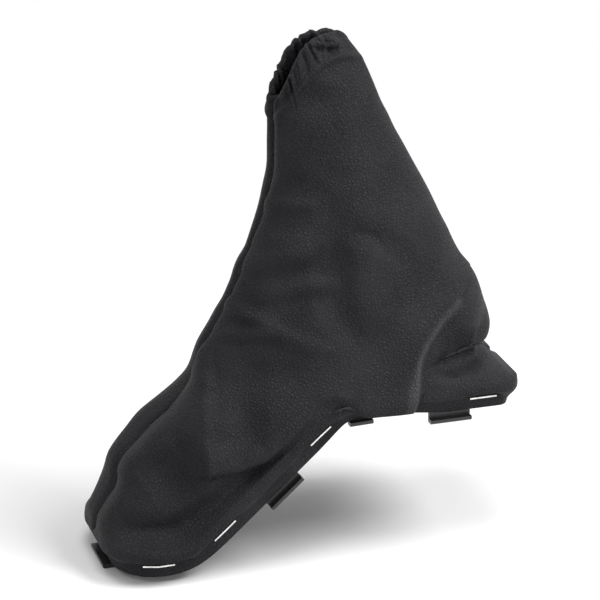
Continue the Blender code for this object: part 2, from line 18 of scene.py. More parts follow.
import bmesh
import bpy
import numpy as np
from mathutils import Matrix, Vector

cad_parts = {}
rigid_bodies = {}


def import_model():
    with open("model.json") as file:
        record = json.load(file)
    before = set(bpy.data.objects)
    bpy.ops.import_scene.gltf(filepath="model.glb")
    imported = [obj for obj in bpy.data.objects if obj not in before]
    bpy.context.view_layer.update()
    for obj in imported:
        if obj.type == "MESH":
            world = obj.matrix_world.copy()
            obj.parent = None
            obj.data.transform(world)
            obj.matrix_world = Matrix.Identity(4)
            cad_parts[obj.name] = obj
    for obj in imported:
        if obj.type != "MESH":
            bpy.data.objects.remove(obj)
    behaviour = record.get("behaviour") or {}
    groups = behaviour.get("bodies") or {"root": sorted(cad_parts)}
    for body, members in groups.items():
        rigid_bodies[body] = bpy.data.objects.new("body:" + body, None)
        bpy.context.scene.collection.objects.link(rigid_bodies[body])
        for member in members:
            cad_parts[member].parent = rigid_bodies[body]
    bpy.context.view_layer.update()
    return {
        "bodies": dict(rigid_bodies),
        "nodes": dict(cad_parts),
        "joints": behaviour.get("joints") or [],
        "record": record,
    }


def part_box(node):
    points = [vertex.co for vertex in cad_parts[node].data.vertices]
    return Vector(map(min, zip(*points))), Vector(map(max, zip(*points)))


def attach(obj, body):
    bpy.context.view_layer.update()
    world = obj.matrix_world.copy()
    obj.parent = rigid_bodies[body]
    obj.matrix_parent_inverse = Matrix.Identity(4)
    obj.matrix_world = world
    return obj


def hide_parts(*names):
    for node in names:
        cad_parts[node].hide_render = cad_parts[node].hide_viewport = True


MM = 0.001
FOOT = 3 * MM
# Depth of the leather's faint unevenness, and how much shorter the half loop is at the rim
SLACK = 0.22 * MM
NARROWING = 0.78
# How many more columns lie round the front and the rear corner, and how far that reaches
CORNER_CROWDING = ((0.6, 30 * MM), (1.6, 12 * MM))
# Where the staples' middles are, behind the front and before the rear end, and how far beside
# each the leather stays flat on the wall
SIDE_STAPLES = (15.5 * MM, 42 * MM, 87 * MM, 130 * MM)
LAST_STAPLE = 12 * MM
STAPLE_HOLD = 7 * MM
STAPLE_FADE = 10 * MM
WIRE_SLIMMING = 0.42
WELD = 0.005 * MM
# Name of the mesh attribute that marks where a highlight is painted along a crest
PAINTED_HIGHLIGHT = "painted_highlight"
GRID_PLACE = "grid_place"
LOG = logging.getLogger("handbrake_gaiter")
Colour = tuple[float, float, float]


class Side(Enum):
    """A side of the gaiter. The value is the sign that its points' Y takes."""

    NEAR = 1.0
    FAR = -1.0


class Slot(Enum):
    """The record's material slots."""

    LEATHER = "leather"
    PLASTIC = "plastic"
    STEEL = "steel"
    ELASTIC = "elastic"


def smooth(value: np.ndarray) -> np.ndarray:
    """Ease from 0 to 1, held at both ends."""
    held = np.clip(value, 0.0, 1.0)
    return held * held * (3 - 2 * held)


def bump(distance: np.ndarray, reach: float) -> np.ndarray:
    """One at no distance, falling smoothly to nothing at the reach."""
    held = np.clip(np.abs(distance) / reach, 0.0, 1.0)
    return (1 - held * held) ** 2


def unit(vectors: np.ndarray) -> np.ndarray:
    """The same directions at length one."""
    return vectors / np.maximum(np.linalg.norm(vectors, axis=-1, keepdims=True), 1e-12)


def sampled(goal: np.ndarray, walked: np.ndarray, line: np.ndarray) -> np.ndarray:
    """Points of a line at distances along it, where walked gives those of its own points."""
    return np.column_stack([np.interp(goal, walked, column) for column in line.T])


def distances(points: np.ndarray) -> np.ndarray:
    """Distances from point to point, added up down the first axis from nothing."""
    steps = np.cumsum(np.linalg.norm(np.diff(points, axis=0), axis=-1), axis=0)
    return np.concatenate((np.zeros_like(steps[:1]), steps))


@dataclass(frozen=True)
class RingSizes:
    """Sizes of the plastic ring that the leather is stapled to."""

    length: float
    half_width: float
    front_radius: float = 20 * MM
    rear_radius: float = 4 * MM
    rise: float = 63 * MM
    slope_start: float = 29 * MM
    slope_end: float = 98.5 * MM
    softness: float = 3.5 * MM
    wall_height: float = 12 * MM
    wall_shallower: float = 3 * MM
    shallow_centre: float = 118 * MM
    shallow_reach: float = 36 * MM
    lip_width: float = 5 * MM

    @classmethod
    def from_frame(cls) -> RingSizes:
        """Read the ring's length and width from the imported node.

        Returns:
            The ring's sizes.
        """
        low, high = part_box("clip_frame")
        lip = 2 * cls.lip_width
        return cls(high.x - low.x - lip, (high.y - low.y - lip) / 2)


@dataclass(frozen=True)
class CoverSizes:
    """Sizes of the leather cover."""

    leather: float = 1.0 * MM
    clearance: float = 0.3 * MM
    margin_above_foot: float = 0.5 * MM
    lip_bend: float = 0.7 * MM
    lip_low: float = 2.5 * MM
    tucked_bend: float = 5.2 * MM
    loose_bend: float = 3.0 * MM
    corner_bend: float = 5.0 * MM
    corner_reach: tuple[float, float] = (7 * MM, 20 * MM)
    puff: float = 0.5 * MM
    seam_allowance: float = 4.5 * MM
    seam_pull: float = 2.0 * MM
    seam_pull_reach: float = 2.2 * MM
    least_allowance: float = 0.4 * MM
    hem_depth: float = 9 * MM
    hem_thickness: float = 3.6 * MM
    fold_start: float = 7 * MM

    @property
    def out(self) -> float:
        """Distance of the leather's face from the wall."""
        return self.clearance + self.leather


class Rail:
    """The wall's top outer edge on the near half, read by its share of the half loop."""

    STATIONS = 4001

    def __init__(self, sizes: RingSizes) -> None:
        """Walk round the near half and store its points.

        Args:
            sizes: The ring's sizes.
        """
        self.sizes = sizes
        arcs = (sizes.front_radius + sizes.rear_radius) * (math.pi / 2 - 2)
        flat_length = 2 * sizes.half_width + sizes.length + arcs
        x, y, normal_x, normal_y = self.outline(np.linspace(0.0, flat_length, self.STATIONS))
        height = sizes.wall_height + self.height(x)
        self.points = np.column_stack((x, y, height))
        self.normals = np.column_stack((normal_x, normal_y, np.zeros_like(x)))
        self.distances = distances(self.points)
        self.length = float(self.distances[-1])

    def outline(self, s: np.ndarray) -> tuple[np.ndarray, np.ndarray, np.ndarray, np.ndarray]:
        """The near half of the wall's outer face seen from above.

        Args:
            s: Distances along it from the middle of the front.

        Returns:
            X, Y and the outward normal's X and Y.
        """
        sizes = self.sizes
        front_end = sizes.half_width - sizes.front_radius
        front_arc = front_end + sizes.front_radius * math.pi / 2
        side = sizes.length - sizes.front_radius - sizes.rear_radius
        rear_arc = front_arc + side + sizes.rear_radius * math.pi / 2
        a = np.clip((s - front_end) / sizes.front_radius, 0.0, math.pi / 2)
        b = np.clip((s - front_arc - side) / sizes.rear_radius, 0.0, math.pi / 2)
        x = sizes.front_radius * (1 - np.cos(a)) + np.clip(s - front_arc, 0.0, side)
        x = x + sizes.rear_radius * np.sin(b)
        y = np.maximum(s - rear_arc, 0.0) - np.minimum(s, front_end)
        y = y - sizes.front_radius * np.sin(a) + sizes.rear_radius * (1 - np.cos(b))
        return x, y, -np.cos(a + b), -np.sin(a + b)

    def height(self, x: np.ndarray) -> np.ndarray:
        """Height of the rail above its front level.

        Args:
            x: Distances behind the front.

        Returns:
            Heights.
        """
        sizes = self.sizes
        gain = sizes.rise / (sizes.slope_end - sizes.slope_start)
        start = np.logaddexp(0.0, (x - sizes.slope_start) / sizes.softness)
        end = np.logaddexp(0.0, (x - sizes.slope_end) / sizes.softness)
        return gain * sizes.softness * (start - end)

    def angle(self, x: np.ndarray) -> np.ndarray:
        """Slope angle of the rail.

        Args:
            x: Distances behind the front.

        Returns:
            Angles in radians.
        """
        sizes = self.sizes
        gain = sizes.rise / (sizes.slope_end - sizes.slope_start)
        start = np.tanh((x - sizes.slope_start) / (2 * sizes.softness))
        end = np.tanh((x - sizes.slope_end) / (2 * sizes.softness))
        return np.arctan(gain * (start - end) / 2)

    def step(self, x: np.ndarray) -> np.ndarray:
        """Heights of the rail over the straight line between its two ends."""
        return self.height(x) - self.sizes.rise * np.clip(x / self.sizes.length, 0.0, 1.0)

    def at(self, shares: np.ndarray) -> tuple[np.ndarray, np.ndarray, np.ndarray]:
        """Points, outward and downward directions.

        Args:
            shares: Shares of the half loop, from 0 to 1.

        Returns:
            Three arrays, one row for each share.
        """
        goal = shares * self.length
        point = sampled(goal, self.distances, self.points)
        outward = unit(sampled(goal, self.distances, self.normals))
        angle = self.angle(point[:, 0])
        down = np.column_stack((np.sin(angle), np.zeros_like(angle), -np.cos(angle)))
        return point, outward, down

    def share_at(self, x: float) -> float:
        """Share of the half loop at a distance behind the front, along the side."""
        first = int(np.argmax(self.points[:, 0] >= x))
        return float(self.distances[first]) / self.length

    def spread(self, count: int) -> np.ndarray:
        """Shares of the half loop that lie closer together round the two corners.

        Args:
            count: How many.

        Returns:
            The shares, from 0 to 1.
        """
        fine = np.linspace(0.0, 1.0, self.STATIONS)
        x, y, _ = sampled(fine * self.length, self.distances, self.points).T
        sizes = self.sizes
        front = np.hypot(x - sizes.front_radius / 3, y + sizes.half_width - sizes.front_radius / 3)
        rear = np.hypot(x - sizes.length, y + sizes.half_width)
        density = 1.0
        for distance, (more, reach) in zip((front, rear), CORNER_CROWDING):
            density = density + more * bump(distance, reach)
        walked = np.cumsum(density)
        goal = np.linspace(walked[0], walked[-1], count)
        shares = np.interp(goal, walked, fine)
        shares[0], shares[-1] = 0.0, 1.0
        return shares

    def rear_corner(self, shares: np.ndarray, along: float, across: float) -> np.ndarray:
        """How near points of the rail are to its rear corner.

        Args:
            shares: Shares of the half loop.
            along: Reach along the side.
            across: Reach along the rear end.

        Returns:
            One at the corner, falling to nothing at the reach.
        """
        point = self.at(shares)[0]
        beside = (point[:, 0] - self.sizes.length) / along
        behind = (point[:, 1] + self.sizes.half_width) / across
        return bump(np.hypot(beside, behind), 1.0)

    def wall_height(self, x: np.ndarray) -> np.ndarray:
        """Height of the wall, which is less at the upper bend.

        Args:
            x: Distances behind the front.

        Returns:
            Heights.
        """
        sizes = self.sizes
        dip = sizes.wall_shallower * bump(x - sizes.shallow_centre, sizes.shallow_reach)
        return sizes.wall_height - dip


@dataclass(frozen=True)
class Section:
    """One level of the cover: its front and rear ends in side view, its half width, how blunt
    each end is, how far it rolls forward beside the front seam, how far its sides bow out of
    its plane and how that is spread, and how much of the rail's step its sides follow. Sizes
    are in millimetres."""

    front: tuple[float, float]
    rear: tuple[float, float]
    half_width: float
    front_shape: float
    rear_shape: float
    roll: float = 0.0
    bow: float = 0.0
    bow_skew: float = 1.0
    bow_blunt: float = 2.0
    follow: float = 0.0

    def half(self, rail: Rail, fuller: float, count: int = 240) -> np.ndarray:
        """The near half of the section as a fine line from its front end to its rear end.

        Args:
            rail: The rail whose step the sides follow.
            fuller: How much of the roll to give it.
            count: Steps along the line.

        Returns:
            Points along the line.
        """
        front = np.array((self.front[0], 0.0, self.front[1])) * MM
        chord = np.array((self.rear[0], 0.0, self.rear[1])) * MM - front
        along = unit(chord)
        normal = np.array((-along[2], 0.0, along[0]))
        a, b = self.front_shape, self.rear_shape
        peak = (a / (a + b)) ** a * (b / (a + b)) ** b
        c = (1 - np.cos(np.linspace(0.0, math.pi, count + 1))) / 2
        width = c ** a * (1 - c) ** b / peak
        bow = self.bow * MM * np.abs(np.sin(math.pi * c ** self.bow_skew)) ** self.bow_blunt
        points = front + chord * c[:, None] + normal * bow[:, None]
        roll = self.roll * MM * fuller * np.sin(math.pi * width ** 1.2)
        roll[c >= a / (a + b)] = 0.0
        points -= along * roll[:, None]
        points[:, 1] = -self.half_width * MM * width
        points[:, 2] += self.follow * rail.step(points[:, 0])
        return points


@dataclass(frozen=True)
class Fold:
    """A soft ridge, or a hollow where its height is negative, along a line in side view. A
    fold with an edge stands up sharply on one side of its line only. One with a painted highlight
    gets a lighter, shinier colour painted along its crest. Sizes are in millimetres."""

    height: float
    reach: float
    line: tuple[tuple[float, float], ...]
    on: Side = Side.NEAR
    edge: float = 0.0
    painted_highlight: float = 0.0

    def felt(self, points: np.ndarray) -> np.ndarray:
        """The fold's height at points of the cover.

        Args:
            points: Points, whose last axis is X, Y and Z.

        Returns:
            Heights in metres.
        """
        spots = points[..., (0, 2)]
        line = np.array(self.line) * MM
        nearest = np.full(spots.shape[:-1], np.inf)
        along = np.ones_like(nearest)
        side = np.ones_like(nearest)
        for k, (start, end) in enumerate(zip(line, line[1:])):
            run = end - start
            part = np.clip((spots - start) @ run / (run @ run), 0.0, 1.0)
            gap = spots - start - part[..., None] * run
            distance = np.linalg.norm(gap, axis=-1)
            closer = distance < nearest
            nearest = np.where(closer, distance, nearest)
            run_share = (k + part) / (len(line) - 1)
            along = np.where(closer, np.sin(math.pi * (0.1 + 0.8 * run_share)) ** 0.5, along)
            cross = run[0] * gap[..., 1] - run[1] * gap[..., 0]
            side = np.where(closer, np.sign(cross), side)
        strength = bump(nearest, self.reach * MM)
        if self.edge:
            strength = strength * smooth(0.5 + side * nearest / (self.edge * MM))
        return self.height * MM * strength * along


SECTIONS = (
    Section((-3.5, 19.5), (181.5, 79.5), 39.0, 0.32, 0.16, roll=4.0, follow=0.95),
    Section((3.5, 34.0), (175.5, 83.0), 38.5, 0.33, 0.30, roll=3.5, follow=0.8),
    Section((6.5, 46.5), (181.0, 88.0), 36.5, 0.38, 0.33, roll=4.0, follow=0.6),
    Section((21.5, 62.0), (182.5, 95.5), 34.0, 0.36, 0.36, roll=6.0, follow=0.4),
    Section((42.5, 79.0), (179.5, 106.5), 31.0, 0.42, 0.40, roll=5.5, follow=0.25),
    Section((46.5, 96.0), (172.5, 120.5), 28.5, 0.55, 0.5, roll=3.5, follow=0.12),
    Section((58.5, 118.0), (158.5, 149.0), 25.0, 0.6, 0.5, roll=3.0),
    Section((71.5, 147.0), (142.5, 180.0), 20.5, 0.6, 0.5, roll=3.0),
    Section((80.0, 175.0), (129.5, 206.0), 16.5, 0.5, 0.5, roll=3.0),
    Section((81.0, 196.0), (121.0, 225.5), 13.0, 0.42, 0.5, roll=3.0, bow=1.5),
)
RIM = Section((81.0, 208.0), (116.0, 234.5), 9.5, 0.4, 0.8, roll=2.5, bow=11.5, bow_skew=1.3,
              bow_blunt=0.75)
ROLL = {Side.NEAR: 1.0, Side.FAR: 1.4}
CREST = ((131, 66), (134, 79), (138, 89), (143, 97), (151, 105), (160, 112))

FOLDS = (
    # Ridge over the rear bulge, the pit beside it, the bulge and the ledge over the lip
    Fold(4.2, 20, CREST, edge=4.4),
    # Narrow crest along the ridge, with a highlight painted along its top
    Fold(1.7, 3.8, CREST, painted_highlight=1.0),
    Fold(-6.0, 12, ((157, 88), (171, 90))),
    Fold(-2.5, 7, ((148, 84), (156, 85))),
    Fold(3.5, 15, ((169, 114), (164, 107), (162, 98))),
    Fold(2.0, 5, ((140, 82), (154, 81), (169, 79), (181, 78))),
    # Bonnet: the hollow behind its shoulder, the crease above the slope and its upright folds
    Fold(-4.0, 15, ((13, 39), (30, 50))),
    Fold(4.2, 14, ((47, 47), (57, 49), (67, 52), (77, 59), (85, 65)), edge=1.6),
    Fold(-2.5, 9, ((84, 61), (67, 49), (50, 44))),
    Fold(3.2, 15, ((42, 48), (42, 60), (44, 72), (47, 82), (47, 90), (47, 100)), edge=5.0),
    Fold(-3.2, 13, ((62, 88), (58, 76), (56, 65), (55, 57))),
    Fold(1.5, 7, ((6, 44), (14, 53), (30, 67), (42, 84))),
    Fold(1.8, 10, ((-3, 20), (10, 25), (22, 29))),
    # Slack wrinkles up the side
    Fold(-2.5, 18, ((74, 90), (82, 80))),
    Fold(1.2, 9, ((97, 100), (88, 104), (76, 110), (66, 113)), edge=5.0),
    Fold(1.7, 4.5, ((54, 104), (65, 106), (76, 106))),
    Fold(1.8, 5, ((55, 117), (63, 114), (73, 111))),
    Fold(1.9, 6, ((70, 123), (78, 125), (91, 128), (99, 127))),
    Fold(1.7, 6, ((63, 134), (76, 138), (89, 141))),
    Fold(1.2, 5, ((72, 160), (82, 163), (92, 163))),
    Fold(2.0, 9, ((74, 144), (93, 145))),
    Fold(-1.3, 8, ((108, 152), (117, 149), (125, 144), (133, 138))),
    Fold(-0.8, 3, ((111, 151), (120, 148), (125, 140))),
    # Broad turn of the side, a valley with a ridge to its right
    Fold(-2.2, 12, ((101, 138), (101, 121), (104, 108))),
    Fold(2.0, 14, ((112, 165), (113, 150), (114, 130), (116, 115))),
    # Bunched leather behind the mouth, and the hollow below the hem
    Fold(-1.3, 1.5, ((101, 238), (107, 236.5), (112, 235.5))),
    Fold(-1.0, 1.4, ((99, 235), (103, 234), (106, 233))),
    Fold(-1.5, 1.8, ((96, 232.5), (101, 231.5), (107, 230.5))),
    Fold(1.2, 2.6, ((100, 233.5), (108, 232.5))),
    Fold(-1.8, 9, ((88, 209), (95, 211), (102, 210))),
    # Far side, with its own run of slack
    Fold(3.5, 11, ((150, 112), (141, 95), (139, 80)), Side.FAR),
    Fold(-6.0, 13, ((157, 91), (173, 91)), Side.FAR),
    Fold(-3.5, 15, ((18, 42), (36, 52)), Side.FAR),
    Fold(-3.5, 12, ((92, 68), (68, 57)), Side.FAR),
    Fold(2.4, 11, ((70, 104), (104, 98)), Side.FAR),
    Fold(1.2, 5, ((70, 106), (86, 103), (102, 99)), Side.FAR),
    Fold(2.2, 10, ((68, 130), (100, 124)), Side.FAR),
    Fold(-2.0, 10, ((100, 160), (122, 146)), Side.FAR),
)


@dataclass(frozen=True)
class Drape:
    """Leather that hangs over the rail where the slope meets the rear."""

    start: float = 90 * MM
    end: float = 141 * MM
    fade: float = 24 * MM
    end_fade: float = 9 * MM
    drop: float = 13 * MM
    out: float = 4.3 * MM
    turn: float = 1.3 * MM
    swell: float = 3.6 * MM
    reach: float = 15 * MM

    def felt(self, x: np.ndarray, above: np.ndarray) -> tuple[np.ndarray, np.ndarray]:
        """How far points drop and stand out.

        Args:
            x: Distances behind the front.
            above: Distances up the leather from the lip.

        Returns:
            The drops and the distances outwards.
        """
        along = smooth((x - self.start) / self.fade) * smooth((self.end - x) / self.end_fade)
        fading = along * np.exp(-(above / self.reach) ** 2)
        drop = self.drop * fading * (1 - np.exp(-above / self.turn))
        return drop, self.out * fading * (1 - np.exp(-above / self.swell))


@dataclass(frozen=True)
class Pleats:
    """The pleats that the elastic draws in round the mouth."""

    per_side: int = 11
    depth: float = 2.3 * MM
    reach: float = 14 * MM
    sharpness: float = 0.16
    lean: float = 0.5
    uneven: float = 0.3
    ridge: float = 2.0 * MM
    ridge_half_width: float = 3.0 * MM

    def felt(self, share: np.ndarray, below: np.ndarray, hem: float) -> np.ndarray:
        """Height of the pleats and of the hem's ridge, which runs lower towards the rear.

        Args:
            share: Shares of the half loop.
            below: Distances below the rim.
            hem: Depth of the hem.

        Returns:
            Heights in metres.
        """
        turned = share * self.per_side + self.lean * np.clip(below / self.reach, 0.0, 1.0)
        turned = turned + self.uneven * np.sin(share * 19.0 + 0.6)
        whole = np.floor(turned)
        deep = 0.6 + 0.4 * np.sin(whole * 2.4 + 0.7)
        part = turned - whole - 0.5
        crease = 0.5 * np.exp(-(part / self.sharpness) ** 2) + 0.5 * (1 - 2 * np.abs(part))
        fade = smooth(1 - below / self.reach)
        ends = smooth(5 * np.minimum(share, 1 - share))
        ridge_line = hem * (0.7 + 0.8 * share * share)
        ridge = self.ridge * bump(below - ridge_line, self.ridge_half_width) * ends
        return (0.4 - crease) * self.depth * deep * fade * ends + ridge * (0.75 + 0.25 * crease)


class Cover:
    """The cover's face over one half, computed for whole grids of points at once."""

    def __init__(self, side: Side, rail: Rail, sizes: CoverSizes) -> None:
        """Prepare the guide lines.

        Args:
            side: The side it covers.
            rail: The rail at its foot.
            sizes: The leather's sizes.
        """
        self.side = side
        self.rail = rail
        self.sizes = sizes
        self.drape = Drape()
        self.pleats = Pleats()
        self.lines = [s.half(rail, ROLL[side]) for s in (*SECTIONS, RIM)]
        self.folds = [fold for fold in FOLDS if fold.on is side]

    def on_rail(self, shares: np.ndarray, out: np.ndarray, down: np.ndarray) -> np.ndarray:
        """Points by their distances out from the wall's face and down from the rail."""
        point, outward, downward = self.rail.at(shares)
        return point + outward * np.reshape(out, (-1, 1)) + downward * np.reshape(down, (-1, 1))

    def guides(self, shares: np.ndarray) -> tuple[np.ndarray, np.ndarray]:
        """Guide points up each column, and their distances.

        Args:
            shares: Shares of the half loop, from 0 to 1.

        Returns:
            Points by guide and column, and distances by guide and column.
        """
        half_bend = self.sizes.lip_bend / 2
        out = self.rail.sizes.lip_width + self.sizes.out - half_bend
        rows = [self.on_rail(shares, np.array(out), np.array(-self.sizes.out - half_bend))]
        for line in self.lines:
            walked = distances(line)
            rows.append(sampled(shares * walked[-1], walked, line))
        points = np.stack(rows)
        return points, distances(points)

    def plain(self, shares: np.ndarray, levels: np.ndarray) -> np.ndarray:
        """Points of the face without its folds.

        Args:
            shares: Shares of the half loop. Those below 0 or above 1 fall on the other side.
            levels: Levels from lip to rim, by row and column.

        Returns:
            Points by row and column.
        """
        mirrored = (shares < 0) | (shares > 1)
        held = np.where(shares < 0, -shares, np.where(shares > 1, 2 - shares, shares))
        points, lengths = self.guides(held)
        goal = levels * lengths[-1]
        last = len(points) - 2
        k = np.minimum((goal[None] > lengths[1:, None, :]).sum(axis=0), last)
        column = np.broadcast_to(np.arange(len(held)), k.shape)
        p1, p2 = points[k, column], points[k + 1, column]
        before, after = np.maximum(k - 1, 0), np.minimum(k + 2, last + 1)
        span = lengths[k + 1, column] - lengths[k, column]
        rise_1 = lengths[k + 1, column] - lengths[before, column]
        rise_2 = lengths[after, column] - lengths[k, column]
        m1 = (p2 - points[before, column]) * (span / rise_1)[..., None]
        m2 = (points[after, column] - p1) * (span / rise_2)[..., None]
        s = ((goal - lengths[k, column]) / span)[..., None]
        s2, s3 = s * s, s * s * s
        found = p1 * (2 * s3 - 3 * s2 + 1) + m1 * (s3 - 2 * s2 + s)
        found = found + p2 * (3 * s2 - 2 * s3) + m2 * (s3 - s2)
        found[..., 1] *= np.where(mirrored, -1.0, 1.0)
        return found

    def face(self, shares: np.ndarray, levels: np.ndarray, inward: float = 0.0,
             above: float = 0.0) -> np.ndarray:
        """Points of the face with its folds, or behind or above it.

        Args:
            shares: Shares of the half loop.
            levels: Levels from lip to rim, by row and column.
            inward: Distance behind the face.
            above: Distance up along the face.

        Returns:
            Points by row and column, on the near side.
        """
        step = 0.004
        point = self.plain(shares, levels)
        around = self.plain(shares + step, levels) - self.plain(shares - step, levels)
        upward = self.plain(shares, np.minimum(levels + step, 1.0))
        upward = unit(upward - self.plain(shares, np.maximum(levels - step, 0.0)))
        normal = unit(np.cross(around, upward))
        length = self.guides(shares)[1][-1]
        risen = levels * length
        lift = sum(fold.felt(point) for fold in self.folds) + self.slack(point)
        lift = lift * np.minimum(1.0, risen / self.sizes.fold_start)
        lift = lift + self.pleats.felt(shares[None], length - risen, self.sizes.hem_depth)
        lift = lift - self.seam_pull(shares, levels) - inward
        drop, out = self.drape.felt(point[..., 0], risen)
        flat = normal * (1.0, 1.0, 0.0)
        point = point + normal * lift[..., None] + upward * above + unit(flat) * out[..., None]
        angle = self.rail.angle(point[..., 0])
        point[..., 0] += drop * np.sin(angle)
        point[..., 2] -= drop * np.cos(angle)
        return point

    def slack(self, point: np.ndarray) -> np.ndarray:
        """Faint unevenness of leather that is only held at its edges.

        Args:
            point: Points of the face.

        Returns:
            Heights in metres.
        """
        x, z = point[..., 0] / MM, point[..., 2] / MM
        wave = np.sin(x / 5.3 + 1.7 * np.sin(z / 9.0)) * np.sin(z / 6.1 + 1.3 * np.sin(x / 8.0))
        wave = wave + 0.6 * np.sin(x / 11.0 - z / 13.0 + 0.8)
        return SLACK * wave

    def seam_pull(self, shares: np.ndarray, levels: np.ndarray) -> np.ndarray:
        """How far the stitching pulls the leather in beside the two seams.

        Args:
            shares: Shares of the half loop.
            levels: Levels from lip to rim, by row and column.

        Returns:
            Depths in metres.
        """
        width = self.rail.length * (1 - NARROWING * levels)
        distance = np.minimum(shares, 1 - shares)[None] * width
        return self.sizes.seam_pull * np.exp(-((distance / self.sizes.seam_pull_reach) ** 2))


@dataclass(frozen=True)
class ElasticBand:
    """The woven band in the hem's tunnel, which draws the mouth in."""

    width: float = 6 * MM
    thickness: float = 0.6 * MM
    below_rim: float = 0.8 * MM
    steps: int = 90

    def build(self, name: str, ring: RingSizes, sizes: CoverSizes) -> bpy.types.Object:
        """Build the band as one closed loop.

        Args:
            name: The piece's name.
            ring: The ring's sizes.
            sizes: The leather's sizes.

        Returns:
            The finished piece.
        """
        tunnel = sizes.leather + (sizes.hem_thickness - 2 * sizes.leather - self.thickness) / 2
        rail = Rail(ring)
        shares = np.linspace(0.0, 1.0, self.steps)
        corners = (
            (self.below_rim, tunnel),
            (self.below_rim, tunnel + self.thickness),
            (self.below_rim + self.width, tunnel + self.thickness),
            (self.below_rim + self.width, tunnel),
            (self.below_rim, tunnel),
        )
        halves = []
        for side in Side:
            cover = Cover(side, rail, sizes)
            length = cover.guides(shares)[1][-1]
            half = np.concatenate([
                cover.face(shares, (1 - depth / length)[None], inward) for depth, inward in corners
            ])
            half[..., 1] = np.minimum(half[..., 1], 0.0) * side.value
            halves.append(half)
        points = np.concatenate((halves[0], halves[1][:, ::-1][:, 1:]), axis=1)
        points[:, -1] = points[:, 0]
        points[..., 0] -= ring.length / 2
        points[..., 2] += FOOT
        return sheet_from_points(name, points, False, closed=True)


